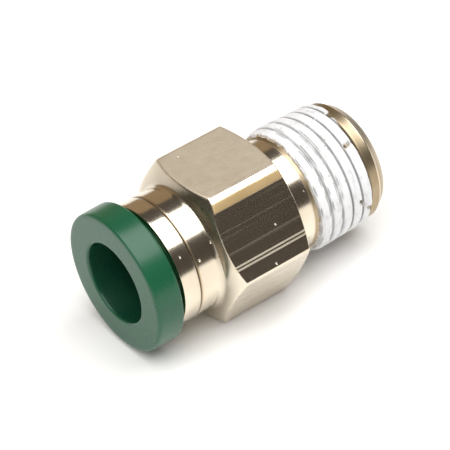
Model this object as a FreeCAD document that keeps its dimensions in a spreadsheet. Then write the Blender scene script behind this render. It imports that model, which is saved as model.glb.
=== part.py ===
"""Push to connect fitting: straight male connector for 6.35 mm (1/4 in) tube, with a 1/8 in taper pipe thread.

Axes: +X runs along the fitting, from the tube port to the thread. +Z is up, and the fitting lies on a flat of
its hexagon. The origin is on the axis, at the front face of the retaining cap. Lengths are in millimetres.
"""
import FreeCAD, Part
import Sketcher
import math
import os

doc = FreeCAD.newDocument("push_to_connect_fitting")

# ---------------------------------------------------------------- driving dimensions
DIMENSIONS = [
    # tube and travel
    ("tube_radius", 3.175, "outer radius of the tube"),
    ("tube_clearance", 0.10, "radial gap between the tube and the button's bore"),
    ("collet_clearance", 0.27, "radial gap between the tube and the collet's fingers"),
    ("ring_clearance", 0.31, "radial gap between the tube and the backing ring"),
    ("seat_clearance", 0.05, "radial gap between the tube and its seat in the body"),
    ("stroke", 0.60, "travel of the release button"),
    ("running_gap", 0.05, "radial gap of the sliding fits"),
    ("end_gap", 0.02, "axial gap where two faces meet at the end of a travel"),
    # release button
    ("button_overhang", 0.72, "how far the head reaches past the cap, in radius"),
    ("button_draft", 0.06, "how much the head narrows towards its back"),
    ("button_thickness", 2.40, "length of the button's head"),
    ("button_edge", 0.22, "chamfer of the head's front edge"),
    ("mouth_flare", 0.39, "how much wider the mouth is than the bore, in radius"),
    ("mouth_depth", 0.75, "length of the mouth's lead-in"),
    ("spigot_wall", 0.325, "wall of the snap spigot at the skirt's end"),
    ("spigot_length", 0.95, "length of the snap spigot up to its bead"),
    ("bead_height", 0.12, "how far the snap bead stands out"),
    ("bead_length", 0.22, "length of the snap bead"),
    # retaining cap
    ("cap_wall", 0.56, "how far flange and collar stand out past the spigot"),
    ("cap_flange", 1.63, "length of the cap's flange"),
    ("cap_edge", 0.12, "chamfer of the cap's front edge"),
    ("seam_edge", 0.07, "small edge break on each side of the seam"),
    ("guide_room", 0.845, "radial room between the tube and the bore that guides the skirt"),
    ("guide_length", 3.5, "length of that bore"),
    ("pocket_step", 0.50, "step from that bore out to the pocket round the fingers"),
    ("pocket_wall", 0.28, "wall of the spigot that presses into the body"),
    ("cap_length", 5.7, "whole length of the cap"),
    # collet
    ("skirt_end", 0.80, "station of the shoulder that pushes the collet"),
    ("ring_length", 1.45, "length of the collet's closed ring"),
    ("finger_wall", 0.40, "wall of the fingers"),
    ("cone_angle", 30.0, "half angle of the collet's cone"),
    ("cone_gap", 0.08, "axial gap between the two cones at rest"),
    ("head_gap", 0.14, "radial gap between the finger heads and the pocket"),
    ("head_length", 0.60, "length of the finger heads behind the cone"),
    ("tooth_bite", 0.085, "how far the tooth stands inside the tube's radius"),
    ("tooth_ramp", 0.90, "length of the tooth's entry ramp"),
    ("slot_width", 0.55, "width of the slots between fingers"),
    ("finger_count", 8, "number of fingers"),
    # backing ring and seal
    ("backing_length", 0.80, "thickness of the backing ring"),
    ("gland_step", 0.30, "step from the spigot's bore down to the seal gland"),
    ("gland_length", 1.60, "length of the seal gland"),
    ("cord_radius", 0.745, "radius of the seal's round section"),
    ("cord_sides", 16, "flats that stand for the round section"),
    # body
    ("shoulder_station", 3.67, "station where the collar meets the hexagon's front cone"),
    ("hex_flats", 12.7, "width across flats"),
    ("hex_length", 7.76, "length of the hexagon with both its ends"),
    ("hex_edge", 0.28, "rounding of the hexagon's long edges"),
    ("front_cone_angle", 19.0, "angle of the front cone from a flat face"),
    ("rear_chamfer_radius", 6.22, "radius where the rear chamfer starts"),
    ("rear_chamfer_angle", 22.0, "angle of the rear chamfer from the rear face"),
    ("neck_radius", 4.95, "radius of the neck"),
    ("neck_length", 2.05, "length of the neck"),
    ("neck_root", 0.30, "cone between neck and hexagon"),
    ("crest_radius", 5.20, "crest radius of the taper thread at its small end"),
    ("thread_length", 7.42, "length from the neck to the nose"),
    ("thread_slope", 0.03125, "rise of the crest radius per unit of length, 1 in 16 on the diameter"),
    ("thread_run_in", 1.10, "length of the cone from the neck up to the crests"),
    ("nose_chamfer", 0.55, "chamfer of the nose"),
    ("tube_stop", 13.5, "station where the tube stops"),
    ("flow_radius", 2.20, "radius of the flow bore"),
    ("flow_chamfer", 0.35, "chamfer of the flow bore's mouth"),
    # dry sealant
    ("sealant_depth", 0.17, "thickness of the dry sealant"),
    ("sealant_start", 0.20, "bare length between the neck and the sealant"),
    ("sealant_end", 1.15, "bare length between the sealant and the tip"),
]

sheet = doc.addObject("Spreadsheet::Sheet", "dims")
for row, (alias, value, note) in enumerate(DIMENSIONS, start=1):
    sheet.set(f"A{row}", alias)
    sheet.set(f"B{row}", str(value))
    sheet.set(f"C{row}", note)
    sheet.setAlias(f"B{row}", alias)

# Stations and radii that follow from the driving dimensions.
DERIVED = [
    ("guide_radius", "tube_radius + guide_room"),
    ("pocket_radius", "guide_radius + pocket_step"),
    ("spigot_radius", "pocket_radius + pocket_wall"),
    ("cap_radius", "spigot_radius + cap_wall"),
    ("button_radius", "cap_radius + button_overhang"),
    ("head_radius", "pocket_radius - head_gap"),
    ("gland_radius", "spigot_radius - gland_step"),
    ("bore_radius", "tube_radius + tube_clearance"),
    ("collet_bore", "tube_radius + collet_clearance"),
    ("seat_radius", "tube_radius + seat_clearance"),
    ("head_back", "-(stroke + end_gap)"),
    ("face_station", "head_back - button_thickness"),
    ("skirt_radius", "guide_radius - running_gap"),
    ("spigot_outer", "bore_radius + spigot_wall"),
    ("bead_radius", "spigot_outer + bead_height"),
    ("spigot_end", "skirt_end + spigot_length"),
    ("bead_end", "spigot_end + bead_length"),
    ("collet_start", "skirt_end + end_gap"),
    ("ring_inner", "spigot_outer + running_gap"),
    ("groove_radius", "bead_radius + running_gap"),
    ("groove_start", "spigot_end - end_gap"),
    ("groove_end", "bead_end + running_gap"),
    ("ring_end", "collet_start + ring_length"),
    ("finger_outer", "collet_bore + finger_wall"),
    ("cone_slope", "tan(cone_angle * 1 deg)"),
    ("cone_end_cap", "guide_length + (pocket_radius - guide_radius) / cone_slope"),
    ("cone_start", "guide_length + cone_gap - (guide_radius - finger_outer) / cone_slope"),
    ("cone_end", "cone_start + (head_radius - finger_outer) / cone_slope"),
    ("collet_end", "cone_end + head_length"),
    ("tooth_radius", "tube_radius - tooth_bite"),
    ("tooth_station", "cone_end"),
    ("backing_end", "cap_length + backing_length"),
    ("gland_end", "backing_end + gland_length"),
    ("hex_end", "shoulder_station + hex_length"),
    ("neck_end", "hex_end + neck_length"),
    ("tip_station", "neck_end + thread_length"),
    ("corner_radius", "hex_flats / 2 / cos(30 deg)"),
    ("chamfer_outer", "corner_radius + hex_edge"),
    ("front_cone_length", "(chamfer_outer - cap_radius) * tan(front_cone_angle * 1 deg)"),
    ("rear_chamfer_length", "(chamfer_outer - rear_chamfer_radius) * tan(rear_chamfer_angle * 1 deg)"),
    ("run_in_end", "neck_end + thread_run_in"),
    ("crest_large", "crest_radius + (thread_length - thread_run_in) * thread_slope"),
    ("crest_nose", "crest_radius + nose_chamfer * thread_slope"),
    ("coat_start", "neck_end + sealant_start"),
    ("coat_end", "tip_station - sealant_end"),
    ("coat_inner_start", "neck_radius + (crest_large - neck_radius) * sealant_start / thread_run_in"),
    ("coat_inner_end", "crest_radius + sealant_end * thread_slope"),
]
for row, (alias, formula) in enumerate(DERIVED, start=len(DIMENSIONS) + 2):
    sheet.set(f"A{row}", alias)
    sheet.set(f"B{row}", "=" + formula)
    sheet.setAlias(f"B{row}", alias)
doc.recompute()


def size(name):
    """Value of a named dimension."""
    return float(getattr(sheet, name))


# ---------------------------------------------------------------- helpers
def bound(text):
    """Turn dimension names in a formula into references to the sheet."""
    names = sorted((alias for alias, *_ in DIMENSIONS + DERIVED), key=len, reverse=True)
    words = "".join(c if c.isalnum() or c == "_" else " " for c in text).split()
    for name in names:
        if name in words:
            text = text.replace(name, "dims." + name)
    return text


def new_body(label):
    body = doc.addObject("PartDesign::Body", label)
    body.Label = label
    body.Placement = FreeCAD.Placement()
    return body


def plane(body, role):
    return next(f for f in body.Origin.OriginFeatures if f.Role == role)


def new_sketch(body, name, role="XZ_Plane"):
    sketch = body.newObject("Sketcher::SketchObject", name)
    sketch.AttachmentSupport = [(plane(body, role), "")]
    sketch.MapMode = "FlatFace"
    return sketch


def outline(body, name, corners):
    """Closed outline in the XZ plane: each corner is a station along X and a radius, bound to the sheet."""
    sketch = new_sketch(body, name)
    places = [(value_of(x), value_of(r)) for x, r in corners]
    count = len(places)
    for i, (x, r) in enumerate(places):
        x_next, r_next = places[(i + 1) % count]
        start, end = FreeCAD.Vector(x, r, 0), FreeCAD.Vector(x_next, r_next, 0)
        sketch.addGeometry(Part.LineSegment(start, end), False)
    for i in range(count):
        sketch.addConstraint(Sketcher.Constraint("Coincident", i, 2, (i + 1) % count, 1))
    for i, (x, r) in enumerate(corners):
        station = sketch.addConstraint(Sketcher.Constraint("DistanceX", -1, 1, i, 1, places[i][0]))
        sketch.setExpression(f"Constraints[{station}]", bound(x))
        radius = sketch.addConstraint(Sketcher.Constraint("DistanceY", -1, 1, i, 1, places[i][1]))
        sketch.setExpression(f"Constraints[{radius}]", bound(r))
    return sketch


def value_of(formula):
    """Number that a formula of dimension names has now."""
    probe.set("A1", "=" + bound(formula))
    probe.recompute()
    return float(probe.get("A1"))


def turned(body, name, corners, kind="Revolution"):
    """Solid of revolution about the X axis, added or cut."""
    sketch = outline(body, name + "_outline", corners)
    feature = body.newObject("PartDesign::" + kind, name)
    feature.Profile = sketch
    feature.ReferenceAxis = (sketch, ["H_Axis"])
    feature.Angle = 360.0
    sketch.Visibility = False
    doc.recompute()
    return feature


probe = doc.addObject("Spreadsheet::Sheet", "probe")


# ---------------------------------------------------------------- body
def make_body():
    """Hexagon with a front cone and a rear chamfer, collar, neck and taper turned on it, and the stepped bore."""
    body = new_body("body")

    flats = new_sketch(body, "hexagon", "YZ_Plane")
    flats.AttachmentOffset = FreeCAD.Placement()
    flats.setExpression("AttachmentOffset.Base.z", bound("shoulder_station * 1 mm"))
    corners = [FreeCAD.Vector(math.cos(math.radians(a)), math.sin(math.radians(a)), 0) * size("corner_radius")
               for a in range(0, 360, 60)]
    for i in range(6):
        flats.addGeometry(Part.LineSegment(corners[i], corners[(i + 1) % 6]), False)
    round_corner = flats.addGeometry(Part.Circle(FreeCAD.Vector(), FreeCAD.Vector(0, 0, 1), 1.0), True)
    flats.addConstraint(Sketcher.Constraint("Coincident", round_corner, 3, -1, 1))
    for i in range(6):
        flats.addConstraint(Sketcher.Constraint("Coincident", i, 2, (i + 1) % 6, 1))
        flats.addConstraint(Sketcher.Constraint("PointOnObject", i, 1, round_corner))
    for i in range(5):
        flats.addConstraint(Sketcher.Constraint("Equal", i, i + 1))
    flats.addConstraint(Sketcher.Constraint("PointOnObject", 0, 1, -1))
    across = flats.addConstraint(Sketcher.Constraint("Radius", round_corner, size("corner_radius")))
    flats.setExpression(f"Constraints[{across}]", bound("corner_radius"))
    bar = body.newObject("PartDesign::Pad", "hexagon_bar")
    bar.Profile = flats
    bar.setExpression("Length", bound("hex_length"))
    flats.Visibility = False
    doc.recompute()

    long_edges = [f"Edge{i}" for i, edge in enumerate(bar.Shape.Edges, start=1)
                  if abs(edge.Vertexes[-1].X - edge.Vertexes[0].X) > size("hex_length") / 2]
    rounded = body.newObject("PartDesign::Fillet", "bar_edges")
    rounded.Base = (bar, long_edges)
    rounded.setExpression("Radius", bound("hex_edge"))
    doc.recompute()

    turned(body, "front_cone", [
        ("shoulder_station", "cap_radius"),
        ("shoulder_station + front_cone_length", "chamfer_outer"),
        ("shoulder_station", "chamfer_outer"),
    ], "Groove")
    turned(body, "rear_chamfer", [
        ("hex_end", "rear_chamfer_radius"),
        ("hex_end", "chamfer_outer"),
        ("hex_end - rear_chamfer_length", "chamfer_outer"),
    ], "Groove")

    turned(body, "collar", [
        ("cap_flange", "spigot_radius"),
        ("cap_flange", "cap_radius - seam_edge"),
        ("cap_flange + seam_edge", "cap_radius"),
        ("shoulder_station", "cap_radius"),
        ("shoulder_station", "spigot_radius"),
    ])
    turned(body, "neck_and_taper", [
        ("hex_end", "0"),
        ("hex_end", "neck_radius + neck_root"),
        ("hex_end + neck_root", "neck_radius"),
        ("neck_end", "neck_radius"),
        ("run_in_end", "crest_large"),
        ("tip_station - nose_chamfer", "crest_nose"),
        ("tip_station", "crest_nose - nose_chamfer"),
        ("tip_station", "0"),
    ])
    turned(body, "stepped_bore", [
        ("cap_flange", "0"),
        ("cap_flange", "spigot_radius"),
        ("backing_end", "spigot_radius"),
        ("backing_end", "gland_radius"),
        ("gland_end", "gland_radius"),
        ("gland_end", "seat_radius"),
        ("tube_stop", "seat_radius"),
        ("tube_stop", "flow_radius"),
        ("tip_station - flow_chamfer", "flow_radius"),
        ("tip_station", "flow_radius + flow_chamfer"),
        ("tip_station", "0"),
    ], "Groove")
    return body


# ---------------------------------------------------------------- retaining cap
def make_retainer_cap():
    """Ring with a flange, a guide bore for the button's skirt and an inner cone that closes the collet."""
    body = new_body("retainer_cap")
    turned(body, "cap", [
        ("0", "guide_radius"),
        ("0", "cap_radius - cap_edge"),
        ("cap_edge", "cap_radius"),
        ("cap_flange - seam_edge", "cap_radius"),
        ("cap_flange", "cap_radius - seam_edge"),
        ("cap_flange", "spigot_radius"),
        ("cap_length", "spigot_radius"),
        ("cap_length", "pocket_radius"),
        ("cone_end_cap", "pocket_radius"),
        ("guide_length", "guide_radius"),
    ])
    return body


# ---------------------------------------------------------------- release button
def make_release_button():
    """Thick round head with a flared mouth, a skirt that runs in the cap, and a spigot that snaps into the collet."""
    body = new_body("release_button")
    turned(body, "button", [
        ("face_station", "bore_radius + mouth_flare"),
        ("face_station", "button_radius - button_edge"),
        ("face_station + button_edge", "button_radius"),
        ("head_back", "button_radius - button_draft"),
        ("head_back", "skirt_radius"),
        ("skirt_end", "skirt_radius"),
        ("skirt_end", "spigot_outer"),
        ("spigot_end", "spigot_outer"),
        ("spigot_end", "bead_radius"),
        ("bead_end", "spigot_outer"),
        ("bead_end", "bore_radius"),
        ("face_station + mouth_depth", "bore_radius"),
    ])
    return body


# ---------------------------------------------------------------- collet
def make_collet():
    """Spring collet: closed ring with a snap groove, then fingers with an outer cone and an inner saw tooth.

    The tooth's ramp faces the tube that comes in, and its steep face holds the tube that is pulled back.
    """
    body = new_body("collet")
    turned(body, "collet_blank", [
        ("collet_start", "ring_inner"),
        ("collet_start", "skirt_radius"),
        ("ring_end", "skirt_radius"),
        ("ring_end", "finger_outer"),
        ("cone_start", "finger_outer"),
        ("cone_end", "head_radius"),
        ("collet_end", "head_radius"),
        ("collet_end", "collet_bore"),
        ("tooth_station", "collet_bore"),
        ("tooth_station", "tooth_radius"),
        ("tooth_station - tooth_ramp", "collet_bore"),
        ("groove_end", "collet_bore"),
        ("groove_end", "groove_radius"),
        ("groove_start", "groove_radius"),
        ("groove_start", "ring_inner"),
    ])
    blank_volume = body.Shape.Volume

    cut = new_sketch(body, "slot_outline", "YZ_Plane")
    cut.setExpression("AttachmentOffset.Base.z", bound("ring_end * 1 mm"))
    half, inner, outer = size("slot_width") / 2, size("tooth_radius") / 2, size("head_radius") * 1.2
    corners = [FreeCAD.Vector(*p, 0) for p in ((-half, inner), (half, inner), (half, outer), (-half, outer))]
    for i in range(4):
        cut.addGeometry(Part.LineSegment(corners[i], corners[(i + 1) % 4]), False)
    for i in range(4):
        cut.addConstraint(Sketcher.Constraint("Coincident", i, 2, (i + 1) % 4, 1))
    cut.addConstraint(Sketcher.Constraint("Symmetric", 0, 1, 0, 2, -2))
    cut.addConstraint(Sketcher.Constraint("Vertical", 1))
    cut.addConstraint(Sketcher.Constraint("Horizontal", 2))
    cut.addConstraint(Sketcher.Constraint("Vertical", 3))
    for kind, formula, ends in (
        ("DistanceX", "slot_width", (0, 1, 0, 2)),
        ("DistanceY", "tooth_radius / 2", (-1, 1, 0, 1)),
        ("DistanceY", "head_radius * 1.2", (-1, 1, 2, 1)),
    ):
        index = cut.addConstraint(Sketcher.Constraint(kind, *ends, value_of(formula)))
        cut.setExpression(f"Constraints[{index}]", bound(formula))
    slot = body.newObject("PartDesign::Pocket", "slot")
    slot.Profile = cut
    slot.Type = "ThroughAll"
    slot.Reversed = True
    cut.Visibility = False
    doc.recompute()
    if not slot.Shape.Volume < blank_volume - 1e-3:
        raise RuntimeError("the slot cuts nothing")

    slots = body.newObject("PartDesign::PolarPattern", "slots")
    slots.Originals = [slot]
    slots.Axis = (plane(body, "X_Axis"), [""])
    slots.Angle = 360.0
    slots.setExpression("Occurrences", bound("finger_count"))
    body.Tip = slots
    doc.recompute()
    return body


# ---------------------------------------------------------------- ring, seal and sealant
def make_backing_ring():
    """Plain ring clamped between the cap's end and the shoulder of the gland."""
    body = new_body("backing_ring")
    turned(body, "ring", [
        ("cap_length", "tube_radius + ring_clearance"),
        ("cap_length", "spigot_radius"),
        ("backing_end", "spigot_radius"),
        ("backing_end", "tube_radius + ring_clearance"),
    ])
    return body


def make_o_ring():
    """Ring of near round section that touches the gland's wall and reaches inside the tube's radius."""
    section = doc.addObject("Part::RegularPolygon", "cord_section")
    section.setExpression("Polygon", bound("cord_sides"))
    section.setExpression("Circumradius", bound("cord_radius * 1 mm"))
    section.Placement = FreeCAD.Placement(FreeCAD.Vector(), FreeCAD.Rotation(FreeCAD.Vector(1, 0, 0), 90))
    section.setExpression("Placement.Base.x", bound("(backing_end + gland_length / 2) * 1 mm"))
    section.setExpression("Placement.Base.z", bound("(gland_radius - cord_radius - end_gap / 2) * 1 mm"))
    ring = doc.addObject("Part::Revolution", "o_ring")
    ring.Label = "o_ring"
    ring.Source = section
    ring.Axis = FreeCAD.Vector(1, 0, 0)
    ring.Base = FreeCAD.Vector()
    ring.Angle = 360.0
    ring.Solid = True
    return ring


def make_thread_sealant():
    """Dry coat over the run-in and the crests of the taper thread, as a thin cone."""
    body = new_body("thread_sealant")
    turned(body, "coat", [
        ("coat_start", "coat_inner_start"),
        ("coat_start", "coat_inner_start + sealant_depth"),
        ("run_in_end", "crest_large + sealant_depth"),
        ("coat_end", "coat_inner_end + sealant_depth"),
        ("coat_end", "coat_inner_end"),
        ("run_in_end", "crest_large"),
    ])
    return body


# ---------------------------------------------------------------- build, check and write
pieces = [
    make_body(),
    make_retainer_cap(),
    make_release_button(),
    make_collet(),
    make_backing_ring(),
    make_o_ring(),
    make_thread_sealant(),
]
doc.removeObject(probe.Name)
doc.recompute()

for item in doc.Objects:
    if "Invalid" in item.State or "Error" in item.State:
        raise RuntimeError(f"{item.Name} did not build: {item.State}")
for piece in pieces:
    if piece.Shape.isNull() or not piece.Shape.isValid() or len(piece.Shape.Solids) != 1:
        raise RuntimeError(f"{piece.Label} is not one valid solid")

os.makedirs("parts", exist_ok=True)
for piece in pieces:
    piece.Shape.exportStep(f"parts/{piece.Label}.step")
    box = piece.Shape.BoundBox
    print(f"{piece.Label}: volume {piece.Shape.Volume:.2f} mm3, x {box.XMin:.2f} to {box.XMax:.2f}, "
          f"widest radius {box.YMax:.2f}")
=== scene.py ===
"""Looks of a push to connect fitting: plated brass body, green release button, white dry sealant.

Lengths here are in metres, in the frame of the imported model: +X from the tube port to the thread, +Z up.
"""
import math

import bpy
import numpy as np
from mathutils import Matrix, Vector


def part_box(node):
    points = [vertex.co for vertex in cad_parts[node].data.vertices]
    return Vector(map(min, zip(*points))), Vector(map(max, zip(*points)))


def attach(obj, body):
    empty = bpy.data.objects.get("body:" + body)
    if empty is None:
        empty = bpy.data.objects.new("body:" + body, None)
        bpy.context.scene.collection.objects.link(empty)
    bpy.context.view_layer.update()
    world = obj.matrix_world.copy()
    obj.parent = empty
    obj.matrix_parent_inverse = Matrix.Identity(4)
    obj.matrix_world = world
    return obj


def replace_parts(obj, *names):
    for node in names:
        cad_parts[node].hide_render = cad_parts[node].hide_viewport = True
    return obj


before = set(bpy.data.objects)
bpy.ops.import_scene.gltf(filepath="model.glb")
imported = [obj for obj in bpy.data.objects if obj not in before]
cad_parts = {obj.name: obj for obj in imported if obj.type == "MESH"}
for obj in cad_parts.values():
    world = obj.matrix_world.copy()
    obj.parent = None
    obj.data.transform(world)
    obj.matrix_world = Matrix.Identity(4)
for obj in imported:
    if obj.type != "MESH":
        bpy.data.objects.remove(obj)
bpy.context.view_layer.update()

MM = 0.001

# ---------------------------------------------------------------- sizes
body_low, body_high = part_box("body")
_, cap_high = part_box("retainer_cap")
button_low, button_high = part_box("release_button")
coat_low, coat_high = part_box("thread_sealant")

FLAT = body_high.z                      # half the width across flats
COLLAR_RADIUS = cap_high.z
SEAM = body_low.x                       # where cap and body meet
TIP = body_high.x
CAP_END = cap_high.x
FACE = button_low.x                     # the button's outer face
BUTTON_RADIUS = button_high.z
SKIRT_TIP = button_high.x

SPIGOT_RADIUS = 4.80 * MM
SHOULDER = 3.67 * MM                    # the collar meets the hexagon's front cone here
COLLAR_ROOT = 0.34 * MM                 # rounding between the collar and that cone
FRONT_SLOPE, FRONT_CURVE = 0.31, 105.0  # slope of that cone at the collar, and its growth per metre
HEX_END = SHOULDER + 7.76 * MM
CHAMFER_RADIUS = 6.22 * MM              # the hexagon's rear chamfer starts here
REAR_SLOPE = math.tan(math.radians(22))
POCKET_SLOPE = math.tan(math.radians(30))
NECK_RADIUS = 4.95 * MM
NECK_END = HEX_END + 2.05 * MM
NECK_ROOT = 0.30 * MM                   # rounding between the neck and the hexagon
NECK_LIP = 0.30 * MM                    # worn length of the neck beside the thread
CREST_RADIUS = 5.20 * MM                # crests of the thread at the tip
TAPER = 1 / 32
PITCH = 1.07 * MM
THREAD_DEPTH = 0.62 * MM
ROOT_AT = 18.0 * MM                     # a root of the thread lies here at ROOT_ANGLE
ROOT_ANGLE = math.radians(140)
RUN_IN = 1.1 * MM
NOSE_START = 20.06 * MM
NOSE_END_RADIUS = 4.66 * MM
TIP_EDGE = 0.04 * MM                    # small edge break of the tip
FLOW_RADIUS = 2.20 * MM
FLOW_CHAMFER = 0.35 * MM
SEAT_RADIUS = 3.225 * MM
TUBE_STOP = 13.5 * MM
GLAND_RADIUS = 4.50 * MM
GLAND_START = 6.50 * MM
GLAND_END = 8.10 * MM

GUIDE_RADIUS = 4.02 * MM
GUIDE_LENGTH = 3.5 * MM
POCKET_RADIUS = 4.52 * MM
SKIRT_RADIUS = 3.97 * MM
BORE_RADIUS = 3.275 * MM
HEAD_BACK = -0.62 * MM
SKIRT_END = 0.80 * MM
SPIGOT_OUTER = 3.60 * MM
BEAD_START = 1.75 * MM
BEAD_PEAK = BEAD_START + 0.11 * MM
BEAD_RADIUS = 3.72 * MM
MOUTH_RADIUS = BORE_RADIUS + 0.39 * MM
SMALL_EDGE = 0.03 * MM                  # edge break of the corners that lie inside

COAT_DEPTH = 0.17 * MM
COAT_END = 19.10 * MM                   # the coat's ragged end lies near here
COAT_TONGUE = 0.35 * MM                 # and this much further on one side
COAT_BRIM = 5.535 * MM                  # greatest radius of the coat, give or take its ripple
COAT_GROOVE = 0.24 * MM                 # depth of the grooves in the coat
BLUNT_UNTIL, SHARP_FROM = 15.9 * MM, 17.4 * MM    # stations between which those grooves become sharp
SCAR_AT, SCAR_RISE = 17.45 * MM, 4.1 * MM         # station of the bare scar, and its rise per radian
# Bare patches: station in millimetres, angle in degrees, then how far each spreads along and round.
BARE_PATCHES = ((18.50, 37, 0.46, 3.0), (17.95, 92, 0.20, 2.6), (18.80, 103, 0.24, 3.4))

CORNER_ROUNDS = np.array([0.34, 0.38, 0.30, 0.30, 0.42, 0.36]) * MM   # long edges of the drawn bar
FLAT_ROUGHNESS = np.array([0.30, 0.44, 0.13, 0.20, 0.30, 0.30])       # flats, each after its edge
TURNED_ROUGHNESS = 0.13                 # turned faces without a roughness of their own
RUBBED_EDGE = 2                         # the long edge that wrenches have rubbed most
RUBBED_TILT = math.radians(8)           # how far its bevel leans over to the next flat
RUBBED_DISTANCE = 7.061 * MM            # distance of that bevel from the axis
RUBBED_BLEND = 0.025 * MM               # rounding between that bevel and the flats
RUBBED_REACH = 1.15 * MM                # how far the next flat dips
RUBBED_LEVEL = 0.30 * MM                # the dip grows no deeper this close to the edge
RUBBED_DIP = 130.0                      # depth of the dip over the square of the distance, in 1/m
# Where the bevel begins and ends and where the brass ends, in sixths of a turn past the rubbed edge.
BEVEL_BEGINS, BEVEL_ENDS, BRASS_ENDS = (-0.06, -0.04), (0.028, 0.038), (0.112, 0.145)
SHADE_BEGINS, SHADE_ENDS = (-70, 14), (62, 84)      # degrees from the top towards -Y, on the front cone, where shade is painted
DIE_LINE_HALF = math.radians(0.5)       # half the breadth of a die line
# Die lines: the flat, the place across it from -1 to 1, and the depth in millimetres.
DIE_LINES = ((2, -0.25, 0.006), (2, 0.555, 0.035), (2, 0.635, 0.035), (3, -0.3, 0.008), (1, 0.82, 0.004))

# Rows where an edge is worn: station past the edge and depth under the face, in millimetres, then wear.
FRONT_EDGE = ((0.0, 0.025, 0.9), (0.05, 0.006, 0.8), (0.12, 0.0, 0.35))
REAR_EDGE = ((-0.12, 0.0, 0.35), (-0.05, 0.006, 0.8), (0.0, 0.030, 0.9))
NOSE_EDGE = ((-0.03, 0.0, 0.5), (0.0, 0.006, 1.2), (0.04, 0.03, 1.2))
# The same at the seam, then grime.
SEAM_EDGE = ((0.0, 0.130, 0.0, 1.0), (0.05, 0.065, 1.0, 0.9), (0.11, 0.015, 1.3, 0.4),
             (0.20, 0.0, 1.0, 0.0), (0.32, 0.0, 0.4, 0.0))


# ---------------------------------------------------------------- shader sockets
class Socket:
    """A shader value. Arithmetic on it adds Math nodes to the same tree."""

    def __init__(self, tree, link):
        self.tree, self.link = tree, link

    def node(self, kind, settings=None, inputs=None, output=0):
        """Add a node: settings are set first, then inputs by name or number. Returns one of its outputs."""
        new = self.tree.nodes.new(kind)
        for key, value in (settings or {}).items():
            setattr(new, key, value)
        for key, value in (inputs or {}).items():
            if isinstance(value, Socket):
                self.tree.links.new(value.link, new.inputs[key])
            else:
                new.inputs[key].default_value = value
        return Socket(self.tree, new.outputs[output])

    def maths(self, operation, *values, clamp=False):
        settings = {"operation": operation, "use_clamp": clamp}
        return self.node("ShaderNodeMath", settings, dict(enumerate(values)))

    def __add__(self, other): return self.maths("ADD", self, other)
    def __radd__(self, other): return self.maths("ADD", other, self)
    def __sub__(self, other): return self.maths("SUBTRACT", self, other)
    def __rsub__(self, other): return self.maths("SUBTRACT", other, self)
    def __mul__(self, other): return self.maths("MULTIPLY", self, other)
    def __rmul__(self, other): return self.maths("MULTIPLY", other, self)
    def __gt__(self, other): return self.maths("GREATER_THAN", self, other)

    def clamped(self):
        """This value, kept between 0 and 1."""
        return self.maths("ADD", self, 0.0, clamp=True)

    def ease(self, low, high):
        """0 below low, 1 above high, smooth between."""
        settings = {"interpolation_type": "SMOOTHSTEP", "clamp": True}
        return self.node("ShaderNodeMapRange", settings, {"Value": self, "From Min": low, "From Max": high})

    def mixed(self, first, second):
        """Colour first where this value is 0, second where it is 1."""
        return self.node("ShaderNodeMix", {"data_type": "RGBA"}, {0: self, 6: first, 7: second}, output=2)

    def vector(self, operation, *values):
        return self.node("ShaderNodeVectorMath", {"operation": operation}, dict(enumerate(values)))

    def noise(self, scale, detail=4.0, roughness=0.5, stretch=(1, 1, 1)):
        """Noise of this vector, which stretch multiplies first."""
        place = self.vector("MULTIPLY", self, Vector(stretch))
        inputs = {"Vector": place, "Scale": scale, "Detail": detail, "Roughness": roughness}
        return self.node("ShaderNodeTexNoise", None, inputs)

    def cells(self, scale):
        """Distance to the nearest point of a random scatter."""
        return self.node("ShaderNodeTexVoronoi", None, {"Vector": self, "Scale": scale})


def new_material(name):
    """Material with an empty tree. Returns it, its tree, a starting socket and its object coordinates."""
    material = bpy.data.materials.new(name)
    material.use_nodes = True
    tree = material.node_tree
    tree.nodes.clear()
    start = Socket(tree, None)
    place = start.node("ShaderNodeTexCoord", output=3)
    return material, tree, start, place


def finish_material(tree, start, settings, bump=None, bump_height=None):
    """Principled shader with the given sockets, and a bump of the given height in metres."""
    shader = tree.nodes.new("ShaderNodeBsdfPrincipled")
    if bump is not None:
        inputs = {"Height": bump, "Distance": bump_height, "Strength": 1.0}
        settings = {**settings, "Normal": start.node("ShaderNodeBump", None, inputs)}
    for key, value in settings.items():
        if isinstance(value, Socket):
            tree.links.new(value.link, shader.inputs[key])
        else:
            shader.inputs[key].default_value = value
    output = tree.nodes.new("ShaderNodeOutputMaterial")
    tree.links.new(shader.outputs[0], output.inputs["Surface"])


def attribute(start, name):
    """Value that the mesh carries at each point under this name."""
    return start.node("ShaderNodeAttribute", {"attribute_name": name}, output=2)


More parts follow.
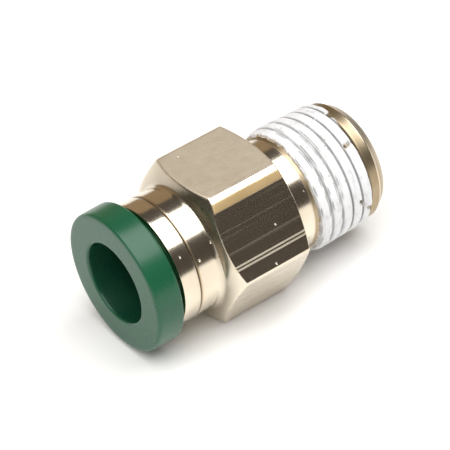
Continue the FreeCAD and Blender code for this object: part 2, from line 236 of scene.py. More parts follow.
# ---------------------------------------------------------------- materials
def nickel_material():
    """Bright nickel over brass: turned bands, drawn flats, brass showing at worn edges, brown grime in the
    thread and at the seam, the same brown as painted shade in the collar's root and on one side of the front
    cone, small pits. Rough faces are satin, with a fine grain."""
    material, tree, start, place = new_material("bright_nickel_plate")
    drawn, worn = attribute(start, "drawn"), attribute(start, "worn")
    base_rough, grime = attribute(start, "rough"), attribute(start, "grime")
    satin = base_rough.ease(0.25, 0.42)
    mottle = place.noise(1100, 5, 0.65)
    cloud = place.noise(260, 4)
    lines = place.noise(5200, 3, 0.6, (1.0, 0.02, 0.02))
    draw_lines = place.noise(2600, 3, 0.6, (0.012, 1.0, 1.0))
    grain = place.noise(7000, 3, 0.6)
    pits = place.cells(900).ease(0.125, 0.05) * (place.noise(330, 2) > 0.54)
    tarnish = place.noise(120, 3).ease(0.45, 0.75)
    plate = (tarnish * 0.6).mixed((0.79, 0.71, 0.58, 1), (0.64, 0.55, 0.42, 1))
    brass = cloud.mixed((0.86, 0.66, 0.34, 1), (0.72, 0.50, 0.22, 1))
    mask = (worn * (0.70 + 0.6 * cloud)).ease(0.25, 0.75)
    # The dark brown is grime in the thread and at the seam, and painted shade in the collar's root and on one
    # side of the front cone.
    dirt_and_shade = (grime * (0.6 + 0.6 * cloud)).clamped()
    colour = (dirt_and_shade * 0.85).mixed((mask * 0.85).mixed(plate, brass), (0.10, 0.065, 0.03, 1))
    streak = draw_lines.ease(0.55, 0.75) * drawn
    rough = (base_rough + 0.05 * cloud + 0.12 * pits + 0.13 * streak * (1 - 0.8 * satin)
             + 0.06 * mask + 0.25 * dirt_and_shade + 0.10 * satin * mottle)
    height = ((1 - drawn) * lines * 0.30 + drawn * draw_lines * (1 - 0.75 * satin) * 0.70
              + (grain + mottle * 1.6) * satin - pits * 5.0)
    settings = {"Base Color": colour, "Metallic": 1.0, "Roughness": rough}
    finish_material(tree, start, settings, height, 0.000012)
    return material


def acetal_material():
    """Satin green moulded acetal, rubbed paler at its edges, with shade painted near black down the bore."""
    material, tree, start, place = new_material("green_acetal")
    cloud = place.noise(380, 4)
    fine = place.noise(5200, 3, 0.6)
    rub = attribute(start, "worn") * place.noise(900, 3).ease(0.45, 0.7)
    base = cloud.mixed((0.0062, 0.073, 0.032, 1), (0.0090, 0.092, 0.041, 1))
    shown = (rub * 0.4).mixed(base, (0.04, 0.19, 0.095, 1))
    # Painted shade: the bore is coloured near black.
    colour = (attribute(start, "bore") * 0.6).mixed(shown, (0.004, 0.020, 0.014, 1))
    rough = 0.23 + 0.10 * cloud + 0.08 * rub
    settings = {"Base Color": colour, "Roughness": rough, "IOR": 1.48,
                "Subsurface Weight": 0.05, "Subsurface Scale": 0.0006,
                "Subsurface Radius": (0.3, 1.0, 0.5)}
    finish_material(tree, start, settings, fine * 0.5 + cloud * 0.7, 0.000010)
    return material


def sealant_material():
    """Dry white sealant: grey in the grooves as painted shade, chalky and dusty on the ridges, brown metal
    where it is thin.
    """
    material, tree, start, place = new_material("dry_white_sealant")
    groove, thin = attribute(start, "groove"), attribute(start, "thin")
    chalk = place.noise(1500, 5, 0.65)
    specks = place.noise(3800, 3, 0.6)
    smear = place.noise(900, 5, 0.65, (2.2, 0.8, 0.8)).ease(0.50, 0.72)
    dust = place.cells(1500).ease(0.16, 0.07) * (place.noise(400, 2) > 0.50)
    # Painted shade: the coat turns grey where its grooves are deep.
    broken = (groove * (0.8 + 0.5 * place.noise(420, 4))).ease(0.15, 0.66)
    white = chalk.mixed((0.64, 0.645, 0.66, 1), (0.80, 0.80, 0.805, 1))
    grey = chalk.mixed((0.19, 0.19, 0.19, 1), (0.40, 0.395, 0.385, 1))
    clean = broken.mixed((smear * 0.40).mixed(white, grey), grey)
    shown = (dust * 0.7).mixed(clean, (0.16, 0.14, 0.11, 1))
    colour = (thin * specks.ease(0.35, 0.65)).mixed(shown, (0.34, 0.25, 0.14, 1))
    rough = 0.62 + 0.2 * chalk
    settings = {"Base Color": colour, "Roughness": rough, "IOR": 1.45}
    finish_material(tree, start, settings, chalk * 1.0 + specks * 0.5, 0.00003)
    return material


def spring_steel_material():
    """Bright stainless strip."""
    material, tree, start, place = new_material("spring_steel")
    lines = place.noise(4000, 3, 0.6, (0.02, 1, 1))
    cloud = place.noise(600, 3)
    colour = cloud.mixed((0.56, 0.55, 0.53, 1), (0.66, 0.65, 0.63, 1))
    settings = {"Base Color": colour, "Metallic": 1.0, "Roughness": 0.22 + 0.14 * cloud}
    finish_material(tree, start, settings, lines, 0.000008)
    return material


def natural_acetal_material():
    """Natural white acetal."""
    material, tree, start, place = new_material("natural_acetal")
    cloud = place.noise(500, 4)
    colour = cloud.mixed((0.72, 0.71, 0.66, 1), (0.82, 0.81, 0.77, 1))
    settings = {"Base Color": colour, "Roughness": 0.38 + 0.12 * cloud}
    finish_material(tree, start, settings, place.noise(3000, 3), 0.000008)
    return material


def nitrile_material():
    """Black nitrile rubber with a light film of grease."""
    material, tree, start, place = new_material("black_nitrile")
    cloud = place.noise(700, 4)
    colour = cloud.mixed((0.012, 0.012, 0.013, 1), (0.026, 0.026, 0.027, 1))
    settings = {"Base Color": colour, "Roughness": 0.34 + 0.2 * cloud}
    finish_material(tree, start, settings, place.noise(2600, 4), 0.00001)
    return material


# ---------------------------------------------------------------- surfaces
def round_profile(corners, steps=4):
    """Closed outline through corners (station, radius, rounding): each corner becomes a parabolic arc
    that starts and ends at the rounding's distance along the two sides, with steps + 1 points."""
    points = np.array([c[:2] for c in corners], float)
    rounding = np.array([c[2] for c in corners], float)
    back = np.roll(points, 1, 0) - points
    ahead = np.roll(points, -1, 0) - points
    back_length = np.linalg.norm(back, axis=1)
    ahead_length = np.linalg.norm(ahead, axis=1)
    reach = np.minimum(rounding, 0.45 * np.minimum(back_length, ahead_length))
    start = points + back * (reach / back_length)[:, None]
    end = points + ahead * (reach / ahead_length)[:, None]
    t = np.linspace(0, 1, steps + 1)[None, :, None]
    arcs = (1 - t) ** 2 * start[:, None] + 2 * t * (1 - t) * points[:, None] + t ** 2 * end[:, None]
    return arcs.reshape(-1, 2)


def with_support(profile, spacing):
    """Add points to a closed outline so that no side is longer than spacing."""
    ahead = np.roll(profile, -1, 0)
    length = np.linalg.norm(ahead - profile, axis=1)
    parts = np.maximum(1, np.ceil(length / spacing)).astype(int)
    index = np.repeat(np.arange(len(profile)), parts)
    first = np.concatenate([[0], np.cumsum(parts)[:-1]])
    t = (np.arange(len(index)) - first[index]) / parts[index]
    return profile[index] + (ahead[index] - profile[index]) * t[:, None]


def new_object(name, data):
    """Object with the given data, linked to the scene."""
    new = bpy.data.objects.new(name, data)
    bpy.context.scene.collection.objects.link(new)
    return new


def ring_mesh(name, x, radius, angle, body, material, values):
    """Closed ring surface. Row j and column i give station x, radius and angle about the X axis; rows and
    columns both wrap round. The outline runs so that its faces point outwards. Each of the values is kept
    on the mesh under its key."""
    x, radius, angle = np.broadcast_arrays(x, radius, angle)
    rows, columns = x.shape
    places = np.stack([x, radius * np.cos(angle), radius * np.sin(angle)], -1).reshape(-1, 3)
    j, i = np.meshgrid(np.arange(rows), np.arange(columns), indexing="ij")
    j_next, i_next = (j + 1) % rows, (i + 1) % columns
    quads = np.stack([j * columns + i, j * columns + i_next,
                      j_next * columns + i_next, j_next * columns + i], -1).reshape(-1, 4)
    mesh = bpy.data.meshes.new(name)
    mesh.from_pydata(places, [], quads)
    mesh.polygons.foreach_set("use_smooth", np.ones(len(quads), bool))
    for key, value in values.items():
        layer = mesh.attributes.new(key, "FLOAT", "POINT")
        layer.data.foreach_set("value", np.broadcast_to(value, x.shape).astype(np.float32).ravel())
    mesh.materials.append(material)
    mesh.update()
    piece = new_object(name, mesh)
    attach(piece, body)
    return piece


def smooth_step(value, low, high):
    """0 below low, 1 above high, smooth between."""
    t = np.clip((value - low) / (high - low), 0, 1)
    return t * t * (3 - 2 * t)


def ripple(x, angle, waves, seed):
    """Sum of sine waves over station and angle, with whole numbers of waves round the axis."""
    rng = np.random.default_rng(seed)
    total = np.zeros(np.broadcast_shapes(np.shape(x), np.shape(angle)))
    for _ in range(waves):
        around = rng.integers(1, 26)
        along = rng.uniform(300, 5200)
        phase = rng.uniform(0, 2 * np.pi, 2)
        total = total + np.cos(around * angle + phase[0] + along * x) * np.cos(along * 0.6 * x + phase[1])
    return total / math.sqrt(waves)


def die_line_angle(flat, place):
    """Angle about the axis of a line on a flat, placed from -1 at its first edge to 1 at its last."""
    return flat * math.pi / 3 + math.pi / 6 + math.atan(place * math.tan(math.pi / 6))


def hexagon_columns():
    """Angles about the axis for the body's columns: even all round, and close together at the rounded long
    edges, on the rubbed edge and beside the die lines."""
    even = np.radians(np.arange(0, 360, 2.25))
    near = np.radians([0.4, 0.9, 1.5, 2.3, 3.2])
    plain = np.array([edge for edge in range(6) if edge != RUBBED_EDGE])
    edges = (plain[:, None] * math.pi / 3 + np.concatenate([-near, [0], near])).ravel()
    rubbed = RUBBED_EDGE * math.pi / 3 + np.radians(np.arange(-4.6, 10.5, 0.4))
    beside = np.radians([-0.7, -0.35, 0, 0.35, 0.7])
    lines = np.concatenate([die_line_angle(flat, place) + beside for flat, place, _ in DIE_LINES])
    columns = np.unique(np.round(np.concatenate([even, edges, rubbed, lines]) % (2 * math.pi), 6))
    return columns[np.diff(columns, append=columns[0] + 2 * math.pi) > math.radians(0.16)]


def soft_least(first, second, width):
    """The lesser of two values, with a rounded change-over."""
    blend = np.clip(0.5 + 0.5 * (second - first) / width, 0, 1)
    return second + (first - second) * blend - width * blend * (1 - blend)


def hexagon_radius(angle):
    """Distance from the axis to the hexagon: a circular arc near each long edge and FLAT / cos(angle from
    the flat's middle) elsewhere. The rubbed edge has a leaning bevel, and the flat after it dips towards
    it as a parabola. Die lines are shallow V cuts."""
    corner = np.round(angle / (math.pi / 3)).astype(int)
    off = angle - corner * math.pi / 3
    rounding = CORNER_ROUNDS[corner % 6]
    centre = (FLAT - rounding) / math.cos(math.pi / 6)
    tangent = np.arctan(rounding * 0.5 / (centre + rounding * math.cos(math.pi / 6)))
    arc = centre * np.cos(off) + np.sqrt(np.maximum(rounding ** 2 - (centre * np.sin(off)) ** 2, 0))
    from_middle = math.pi / 6 - np.abs(off)
    radius = np.where(np.abs(off) < tangent, arc, FLAT / np.cos(from_middle))
    along = FLAT * (math.tan(math.pi / 6) - np.tan(np.clip(from_middle, 0, None)))
    rubbed = corner % 6 == RUBBED_EDGE
    dip = RUBBED_DIP * np.clip(RUBBED_REACH - np.maximum(along, RUBBED_LEVEL), 0, None) ** 2
    radius = radius - np.where(rubbed & (off > 0), dip, 0)
    bevel = RUBBED_DISTANCE / np.cos(off - RUBBED_TILT)
    radius = np.where(rubbed, soft_least(radius, bevel, RUBBED_BLEND), radius)
    for flat, place, depth in DIE_LINES:
        away = np.abs(angle - die_line_angle(flat, place))
        radius = radius - depth * MM * np.clip(1 - away / DIE_LINE_HALF, 0, 1)
    return radius


def front_cone(height):
    """Station of the hexagon's front end at a height above the collar: a parabola that starts at 17
    degrees from the radial plane and leans back to 34 degrees at the long edges."""
    return FRONT_SLOPE * height + FRONT_CURVE * height ** 2


def crest_line(x):
    """Radius of the thread's crests at a station. It rises in a cone from the neck over the run-in, then
    narrows by 1 in 32 towards the tip."""
    crest = CREST_RADIUS + (TIP - x) * TAPER
    t = np.clip((x - NECK_END) / RUN_IN, 0, 1)
    return NECK_RADIUS + (crest - NECK_RADIUS) * t


def helix_phase(x, angle):
    """Turns along the right-hand helix: a whole number at each root of the thread."""
    return (x - ROOT_AT) / PITCH - (angle - ROOT_ANGLE) / (2 * np.pi)


def from_root(x, angle):
    """Distance from the nearest root, in pitches: 0 at a root, 0.5 at a crest."""
    return np.abs((helix_phase(x, angle) + 0.5) % 1.0 - 0.5)


def thread_cut(x, angle):
    """Depth of the thread below its crests: a V with flat crest and root, whose flanks lean 35 degrees from
    the radial plane. It follows the helix and fades out at both ends."""
    groove = np.clip((0.44 - from_root(x, angle)) / 0.40, 0, 1)
    fade_in = smooth_step(x, NECK_END + 0.15 * MM, NECK_END + 1.2 * MM)
    fade_out = 1 - smooth_step(x, NOSE_START - 1.15 * MM, NOSE_START - 0.75 * MM)
    return THREAD_DEPTH * groove * fade_in * fade_out


# ---------------------------------------------------------------- pieces
class Rows:
    """Rows of a skin round the X axis. Each has a station and a radius for every column, and marks that
    hold for the whole row."""

    def __init__(self, angle):
        self.angle, self.x, self.radius, self.marks = angle, [], [], []

    def add(self, x, radius, **marks):
        self.x.append(np.broadcast_to(x, self.angle.shape))
        self.radius.append(np.broadcast_to(radius, self.angle.shape))
        self.marks.append(marks)

    def span(self, x0, x1, r0, r1, count, **marks):
        """Rows strictly between two stations."""
        for t in np.linspace(0, 1, count + 2)[1:-1]:
            self.add(x0 + (x1 - x0) * t, r0 + (r1 - r0) * t, **marks)

    def mark(self, key):
        """A mark of every row, 0 where a row lacks it, for every column."""
        return np.array([marks.get(key, 0.0) for marks in self.marks])[:, None] * np.ones_like(self.angle)


def add_collar(rows):
    """From the seam: a worn edge break, the collar, and the parabolic rounding at its root."""
    for past, sink, wear, dirt_and_shade in SEAM_EDGE:
        rows.add(SEAM + past * MM, COLLAR_RADIUS - sink * MM, worn=wear, grime=dirt_and_shade)
    rows.span(SEAM + 0.36 * MM, SHOULDER - COLLAR_ROOT, COLLAR_RADIUS, COLLAR_RADIUS, 12)
    # Painted shade: dark brown grows into the rounding at the collar's root, more on one side.
    for t in np.linspace(0, 1, 8):
        behind, past = (1 - t) ** 2, t * t
        rows.add(SHOULDER - COLLAR_ROOT * behind + front_cone(COLLAR_ROOT * past),
                 COLLAR_RADIUS + COLLAR_ROOT * past, rough=0.10, grime=0.35 * t, soot=0.50 * t)


def add_hexagon(rows, hexagon):
    """Front cone, the flats between two worn rims, and the rear chamfer. The radius is that of the rounded
    hexagon at each angle, and the station of both ends moves with that radius."""
    front = SHOULDER + front_cone(hexagon - COLLAR_RADIUS)
    back = HEX_END - (hexagon - CHAMFER_RADIUS) * REAR_SLOPE
    cone_start = COLLAR_RADIUS + COLLAR_ROOT
    # Painted shade: the cone is dark brown near the collar's root, and more on one side.
    for t in np.linspace(0, 0.86, 16)[1:]:
        radius = cone_start + (hexagon - cone_start) * t
        rows.add(SHOULDER + front_cone(radius - COLLAR_RADIUS), radius,
                 rough=0.10, grime=0.35 * (1 - t), soot=0.50)
    for past, sink, wear in FRONT_EDGE:
        rows.add(front + past * MM, hexagon - sink * MM, worn=wear, flat=1)
    rows.span(front + FRONT_EDGE[-1][0] * MM, back + REAR_EDGE[0][0] * MM, hexagon, hexagon, 40, flat=1)
    for past, sink, wear in REAR_EDGE:
        rows.add(back + past * MM, hexagon - sink * MM, worn=wear, flat=1)
    for t in np.linspace(1, 0, 9)[2:]:
        radius = CHAMFER_RADIUS + (hexagon - CHAMFER_RADIUS) * t
        rows.add(HEX_END - (radius - CHAMFER_RADIUS) * REAR_SLOPE, radius)


def add_neck(rows):
    """Rear face of the hexagon, a quarter circle down to the neck, and the neck up to the thread."""
    rows.span(HEX_END, HEX_END, CHAMFER_RADIUS, NECK_RADIUS + NECK_ROOT, 9)
    for t in np.linspace(0, 1, 8) * math.pi / 2:
        rows.add(HEX_END + NECK_ROOT * (1 - math.cos(t)), NECK_RADIUS + NECK_ROOT * (1 - math.sin(t)),
                 rough=0.16)
    rows.span(HEX_END + NECK_ROOT, NECK_END - NECK_LIP, NECK_RADIUS, NECK_RADIUS, 10, rough=0.15)
    rows.add(NECK_END - NECK_LIP, NECK_RADIUS, rough=0.16, worn=0.3)
    rows.add(NECK_END - 0.08 * MM, NECK_RADIUS, rough=0.18, worn=0.5, grime=0.1)
    rows.add(NECK_END, NECK_RADIUS, rough=0.24, worn=1.4, grime=0.5)


def add_thread_and_nose(rows):
    """Crest line less the thread's cut, then the tip's chamfer with one turned line in it."""
    for x in np.arange(NECK_END + 0.02 * MM, NOSE_START - 0.04 * MM, PITCH / 24):
        bare = x > NOSE_START - 1.2 * MM or x < NECK_END + 0.35 * MM
        rows.add(x, crest_line(x) - thread_cut(x, rows.angle), thread=1,
                 rough=0.16, worn=1.3 * bare, grime=0.72)
    crest_edge = crest_line(NOSE_START)
    for past, sink, wear in NOSE_EDGE:
        rows.add(NOSE_START + past * MM, crest_edge - sink * MM, worn=wear)
    for t in np.linspace(0.1, 0.95, 12):
        line = 0.02 * MM * (abs(t - 0.441) < 0.04)
        rows.add(NOSE_START + (TIP - NOSE_START) * t,
                 crest_edge + (NOSE_END_RADIUS - crest_edge) * t - line,
                 worn=1.1, rough=0.18, grime=0.55 + 0.4 * (line > 0))
    rows.add(TIP - 0.02 * MM, NOSE_END_RADIUS, worn=0.3)
    rows.add(TIP, NOSE_END_RADIUS - TIP_EDGE)


def add_bore(rows):
    """Face of the tip, and the stepped bore back to the seam."""
    mouth = FLOW_RADIUS + FLOW_CHAMFER
    rows.span(TIP, TIP, NOSE_END_RADIUS - TIP_EDGE, mouth, 9)
    rows.add(TIP, mouth)
    rows.span(TIP, TIP - FLOW_CHAMFER, mouth, FLOW_RADIUS, 3)
    bore = [(TIP - FLOW_CHAMFER, FLOW_RADIUS), (TUBE_STOP, FLOW_RADIUS), (TUBE_STOP, SEAT_RADIUS),
            (GLAND_END, SEAT_RADIUS), (GLAND_END, GLAND_RADIUS), (GLAND_START, GLAND_RADIUS),
            (GLAND_START, SPIGOT_RADIUS), (SEAM, SPIGOT_RADIUS)]
    longest = 0.6 * MM
    for (x0, r0), (x1, r1) in zip(bore[:-1], bore[1:]):
        rows.add(x0, r0)
        rows.span(x0, x1, r0, r1, max(1, int(math.hypot(x1 - x0, r1 - r0) / longest)))
    rows.add(*bore[-1])
    rows.span(SEAM, SEAM, SPIGOT_RADIUS, COLLAR_RADIUS - SEAM_EDGE[0][1] * MM, 2)


def body_piece(material):
    """Body in one closed skin. Outside, from the seam: collar, hexagon with a front cone, a rear chamfer and
    rounded long edges, neck, tapered thread and chamfered tip. Inside: the stepped bore. Brass shows along
    the long edges, most beside the rubbed one, grime lies in the thread, and shade is painted dark brown
    into the collar's root and onto one side of the cone."""
    angle = hexagon_columns()
    rows = Rows(angle)
    add_collar(rows)
    add_hexagon(rows, hexagon_radius(angle))
    add_neck(rows)
    add_thread_and_nose(rows)
    add_bore(rows)
    x, radius = np.stack(rows.x), np.stack(rows.radius)
    flat, thread = rows.mark("flat"), rows.mark("thread")

    turns = angle / (math.pi / 3)
    past_edge = np.minimum(turns % 1, 1 - turns % 1)
    long_edge = 1 - smooth_step(past_edge, 0.02, 0.09)
    from_rubbed = turns - RUBBED_EDGE
    past_bevel = smooth_step(from_rubbed, *BEVEL_ENDS)
    gold_strip = past_bevel * (1 - smooth_step(from_rubbed, *BRASS_ENDS))
    bevel_face = smooth_step(from_rubbed, *BEVEL_BEGINS) * (1 - past_bevel)
    other_edges = long_edge * (np.abs(from_rubbed) > 0.3)
    line_mark = np.zeros_like(angle)
    for flat_index, place, depth in DIE_LINES:
        away = np.abs(angle - die_line_angle(flat_index, place))
        line_mark = np.maximum(line_mark, min(1.0, depth / 0.02) * (1 - smooth_step(away, 0.004, 0.012)))
    # Painted shade: one side of the front cone and of the collar's root is coloured dark brown.
    around = np.degrees(angle) - 90
    shaded_side = smooth_step(around, *SHADE_BEGINS) * (1 - smooth_step(around, *SHADE_ENDS))

    flat_rough = FLAT_ROUGHNESS[np.floor(turns).astype(int) % 6]
    flat_rough = flat_rough + (0.20 - flat_rough) * bevel_face
    flat_rough = flat_rough + (0.42 - flat_rough) * np.maximum(gold_strip, line_mark)
    rough = np.where(rows.mark("rough") > 0, rows.mark("rough"), TURNED_ROUGHNESS)
    rough = rough * (1 - flat) + flat_rough * flat
    worn = np.maximum(rows.mark("worn") * 0.4, flat * np.maximum(0.30 * long_edge, gold_strip))
    roots = thread * (1 - smooth_step(from_root(x, angle), 0.05, 0.30))
    grime = rows.mark("grime") + rows.mark("soot") * shaded_side + 0.38 * flat * gold_strip
    grime = np.maximum(grime, 0.6 * roots)

    nicks = other_edges * np.abs(ripple(x, angle, 16, 5))
    radius = radius - flat * 0.003 * MM * np.abs(ripple(x, angle, 24, 11)) - flat * 0.010 * MM * nicks
    radius = radius + thread * 0.006 * MM * ripple(x, angle, 20, 3) - thread * 0.008 * MM
    values = {"drawn": flat, "rough": rough, "worn": worn, "grime": grime}
    return ring_mesh("plated_body", x, radius, angle, "fitting", material, values)


def bare_metal(x, angle, turned):
    """How bare the coat is, from 0 to 1: a scar that rises round the thread, and oval patches with ragged
    edges, each a bell curve of the distance from its middle."""
    scar = 1 - smooth_step(np.abs(x - SCAR_AT - (turned - math.radians(84)) * SCAR_RISE), 0.05 * MM, 0.20 * MM)
    bare = 0.45 * scar * smooth_step(turned, 1.50, 1.60) * (1 - smooth_step(turned, 1.80, 1.95))
    ragged = 0.16 * ripple(x, angle, 60, 41)
    for place, around, length, spread in BARE_PATCHES:
        along = (x - place * MM) / (length * MM)
        aside = (turned - math.radians(around)) / math.radians(spread)
        bare = np.maximum(bare, smooth_step(np.exp(-(along ** 2 + aside ** 2)) + ragged, 0.22, 0.80))
    return bare


def sealant_piece(material):
    """Dry sealant on the thread: a thin closed shell. Its outer radius is the crest line plus a coat that
    dips in grooves along the helix, is uneven with a seeded ripple and runs out in ragged ends. A twin
    groove runs beside each until the grooves become sharp, and metal shows in a scar and three patches."""
    columns, outer_rows, inner_rows = 360, 210, 24
    angle = np.linspace(0, 2 * np.pi, columns, endpoint=False)[None, :]
    t = np.linspace(0, 1, outer_rows)[:, None]
    turned = (angle - math.radians(90)) % (2 * np.pi)
    tongue = COAT_TONGUE * smooth_step(turned, math.radians(200), math.radians(330))
    start = coat_low.x + 0.09 * MM * np.abs(ripple(0 * t, angle, 14, 21))
    end = COAT_END + 0.07 * MM * ripple(0 * t, angle, 14, 22) + tongue
    x = start * (1 - t) + np.minimum(end, coat_high.x - 0.02 * MM) * t

    across = from_root(x, angle)
    sharp = smooth_step(x, BLUNT_UNTIL, SHARP_FROM)
    width = 0.19 - 0.05 * sharp
    cut = (1 - smooth_step(across, 0.35 * width, width)) * (0.62 + 0.38 * sharp)
    broken = np.clip(0.5 + ripple(x, angle, 22, 36), 0, 1)
    twin = (1 - smooth_step(np.abs(across - 0.20), 0.02, 0.07)) * broken * (1 - sharp)
    strength = np.clip(0.85 + 0.20 * ripple(x, angle, 14, 33), 0.62, 1)
    depth = strength * np.maximum(cut, 0.75 * twin)
    worn_down = 0.05 * MM * smooth_step(x, 18.3 * MM, 19.2 * MM)
    brim = COAT_BRIM + 0.012 * MM * ripple(x, angle, 26, 31) - worn_down
    ridge = np.minimum(crest_line(x) + COAT_DEPTH - 0.012 * MM, brim)
    uneven = 0.02 * MM * smooth_step(across, 0.30, 0.5) * np.abs(ripple(x, angle, 12, 35))
    outer = ridge - COAT_GROOVE * depth - uneven

    bare = bare_metal(x, angle, turned)
    fade = smooth_step(t, 0, 0.015) * (1 - smooth_step(t, 0.985, 1.0))
    under = crest_line(x) - thread_cut(x, angle) - 0.02 * MM
    outer = np.minimum(outer, outer + (under - outer) * bare)
    outer = outer * fade + under * (1 - fade)
    inner = crest_line(x) - THREAD_DEPTH * 0.7
    outer = np.maximum(outer, inner + 0.01 * MM)

    back = np.linspace(outer_rows - 1, 0, inner_rows).astype(int)
    stained = 0.7 * (1 - smooth_step(t, 0.012, 0.034))
    thin = np.clip(1 - fade + bare + stained, 0, 1)
    nothing = np.zeros_like(x[back])
    values = {"groove": np.concatenate([depth, nothing]), "thin": np.concatenate([thin, nothing])}
    return ring_mesh("dry_sealant_coat", np.concatenate([x, x[back]]), np.concatenate([outer, inner[back]]),
                     angle, "fitting", material, values)


def near_corners(profile, corners, chosen, near, far):
    """1 at the chosen corners of an outline, 0 further than far from them, smooth between."""
    mark = np.zeros(len(profile))
    for k in chosen:
        off = np.linalg.norm(profile - np.array(corners[k][:2]), axis=1)
        mark = np.maximum(mark, 1 - smooth_step(off, near, far))
    return mark[:, None]


def turned_piece(name, corners, body, material, worn=(), soiled=()):
    """Solid of revolution: the rounded outline of the corners, turned about the X axis. It is worn at some
    corners, soiled at others, and marked as bore where its radius is small, which the button's material
    paints in shade."""
    columns, spacing = 180, 0.25 * MM
    profile = with_support(round_profile(corners), spacing)
    angle = np.linspace(0, 2 * np.pi, columns, endpoint=False)[None, :]
    values = {"worn": 0.5 * near_corners(profile, corners, worn, 0.04 * MM, 0.16 * MM),
              "drawn": 0.0, "rough": TURNED_ROUGHNESS,
              "grime": near_corners(profile, corners, soiled, 0.06 * MM, 0.16 * MM),
              "bore": 1 - smooth_step(profile[:, 1:], 3.48 * MM, 3.60 * MM)}
    return ring_mesh(name, profile[:, :1], profile[:, 1:], angle, body, material, values)


def cap_piece(material):
    """Retaining cap: the flange seen behind the button, and its spigot inside the body."""
    pocket_start = GUIDE_LENGTH + (POCKET_RADIUS - GUIDE_RADIUS) / POCKET_SLOPE
    corners = [(0, GUIDE_RADIUS, 0.10 * MM), (0, COLLAR_RADIUS, 0.14 * MM), (SEAM, COLLAR_RADIUS, 0.14 * MM),
               (SEAM, SPIGOT_RADIUS, SMALL_EDGE), (CAP_END, SPIGOT_RADIUS, SMALL_EDGE),
               (CAP_END, POCKET_RADIUS, SMALL_EDGE), (pocket_start, POCKET_RADIUS, SMALL_EDGE),
               (GUIDE_LENGTH, GUIDE_RADIUS, SMALL_EDGE)]
    return turned_piece("retaining_cap", corners, "fitting", material, worn=(1,), soiled=(2,))


def button_piece(material):
    """Release button: a thick satin disc whose mouth tapers down to the bore, a skirt and a beaded spigot."""
    corners = [(FACE, MOUTH_RADIUS, 0.10 * MM), (FACE, BUTTON_RADIUS - 0.05 * MM, 0.30 * MM),
               (HEAD_BACK, BUTTON_RADIUS, 0.20 * MM), (HEAD_BACK, SKIRT_RADIUS, 0.06 * MM),
               (SKIRT_END, SKIRT_RADIUS, SMALL_EDGE), (SKIRT_END, SPIGOT_OUTER, SMALL_EDGE),
               (BEAD_START, SPIGOT_OUTER, SMALL_EDGE), (BEAD_PEAK, BEAD_RADIUS, SMALL_EDGE),
               (SKIRT_TIP, SPIGOT_OUTER, SMALL_EDGE), (SKIRT_TIP, BORE_RADIUS, SMALL_EDGE),
               (FACE + 2.20 * MM, BORE_RADIUS, 0.25 * MM),
               (FACE + 0.12 * MM, BORE_RADIUS + 0.25 * MM, 0.06 * MM)]
    return turned_piece("release_button_skin", corners, "button", material, worn=(0, 1, 2))


# ---------------------------------------------------------------- build
nickel = nickel_material()
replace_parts(body_piece(nickel), "body")
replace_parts(cap_piece(nickel), "retainer_cap")
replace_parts(button_piece(acetal_material()), "release_button")
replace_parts(sealant_piece(sealant_material()), "thread_sealant")

for node, material in (("collet", spring_steel_material()), ("backing_ring", natural_acetal_material()),
                       ("o_ring", nitrile_material())):
    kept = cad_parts[node]
    kept.data.materials.clear()
    kept.data.materials.append(material)


# ---------------------------------------------------------------- stage
FLOOR = -FLAT


def card(name, centre, across, up, colour, strength):
    """Flat rectangle that glows evenly, given its centre and its two half sides."""
    centre, across, up = Vector(centre), Vector(across), Vector(up)
    corners = [centre - across - up, centre + across - up, centre + across + up, centre - across + up]
    mesh = bpy.data.meshes.new(name)
    mesh.from_pydata([tuple(c) for c in corners], [], [(0, 1, 2, 3)])
    material = bpy.data.materials.new(name)
    material.use_nodes = True
    tree = material.node_tree
    tree.nodes.clear()
    glow = tree.nodes.new("ShaderNodeEmission")
    glow.inputs["Color"].default_value = (*colour, 1)
    glow.inputs["Strength"].default_value = strength
    output = tree.nodes.new("ShaderNodeOutputMaterial")
    tree.links.new(glow.outputs[0], output.inputs["Surface"])
    mesh.materials.append(material)
    piece = new_object(name, mesh)


def softbox(name, centre, target, size_x, size_y, power):
    """Rectangular area light that faces the target."""
    light = bpy.data.lights.new(name, "AREA")
    light.shape = "RECTANGLE"
    light.size, light.size_y = size_x, size_y
    light.energy = power
    lamp = new_object(name, light)
    centre = Vector(centre)
    facing = (Vector(target) - centre).to_track_quat("-Z", "Y")
    lamp.matrix_world = Matrix.Translation(centre) @ facing.to_matrix().to_4x4()
    return lamp


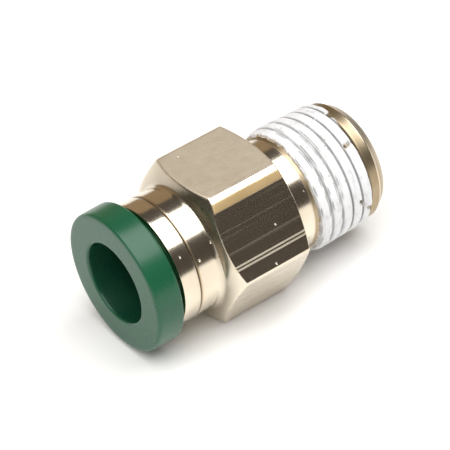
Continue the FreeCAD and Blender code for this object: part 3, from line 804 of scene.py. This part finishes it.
def floor_piece():
    """Wide pale floor under the fitting."""
    half = 3.0
    corners = [(-half, -half, FLOOR), (half, -half, FLOOR), (half, half, FLOOR), (-half, half, FLOOR)]
    mesh = bpy.data.meshes.new("floor")
    mesh.from_pydata(corners, [], [(0, 1, 2, 3)])
    material, tree, start, place = new_material("pale_floor")
    tint = place.noise(40, 3).mixed((0.88, 0.875, 0.865, 1), (0.90, 0.895, 0.885, 1))
    finish_material(tree, start, {"Base Color": tint, "Roughness": 0.9, "Specular IOR Level": 0.1})
    mesh.materials.append(material)
    piece = new_object("floor", mesh)


floor_piece()
card("tan_wall", (0.15, 1.1, 0.55), (1.4, 0, 0), (0, 0, 0.56), (0.46, 0.34, 0.215), 0.75)

world = bpy.data.worlds.new("room")
world.use_nodes = True
background = world.node_tree.nodes["Background"]
background.inputs["Color"].default_value = (0.95, 0.82, 0.72, 1)
background.inputs["Strength"].default_value = 0.09
bpy.context.scene.world = world

softbox("overhead", (-0.10, -0.13, 0.50), (-0.10, -0.13, 0), 1.1, 0.53, 6.9)
fill = softbox("low_fill", (-0.05, -0.60, 0.14), (0, 0, 0), 0.8, 0.2, 1.0)
fill.visible_glossy = False             # it lights the sides, and no face mirrors it

scene = bpy.context.scene
scene.view_settings.view_transform = "Standard"
scene.view_settings.look = "None"

# ---------------------------------------------------------------- camera
AZIMUTH, ELEVATION, ROLL = math.radians(-34.239), math.radians(38.832), math.radians(-5.594)
TARGET = Vector((8.070, 0, -0.192)) * MM
DISTANCE = 201.524 * MM
LENS, SENSOR = 199.8, 36                # millimetres
NEAREST = 0.01                          # nothing closer to the camera is drawn
look = Vector((-math.sin(AZIMUTH) * math.cos(ELEVATION), math.cos(AZIMUTH) * math.cos(ELEVATION),
               -math.sin(ELEVATION)))
right = look.cross(Vector((0, 0, 1))).normalized()
above = right.cross(look)
across = math.cos(ROLL) * right + math.sin(ROLL) * above
upward = -math.sin(ROLL) * right + math.cos(ROLL) * above
data = bpy.data.cameras.new("camera")
data.lens, data.sensor_width = LENS, SENSOR
data.clip_start = NEAREST
camera = new_object("camera", data)
turn = Matrix((across, upward, -look)).transposed().to_4x4()
camera.matrix_world = Matrix.Translation(TARGET - look * DISTANCE) @ turn
scene.camera = camera
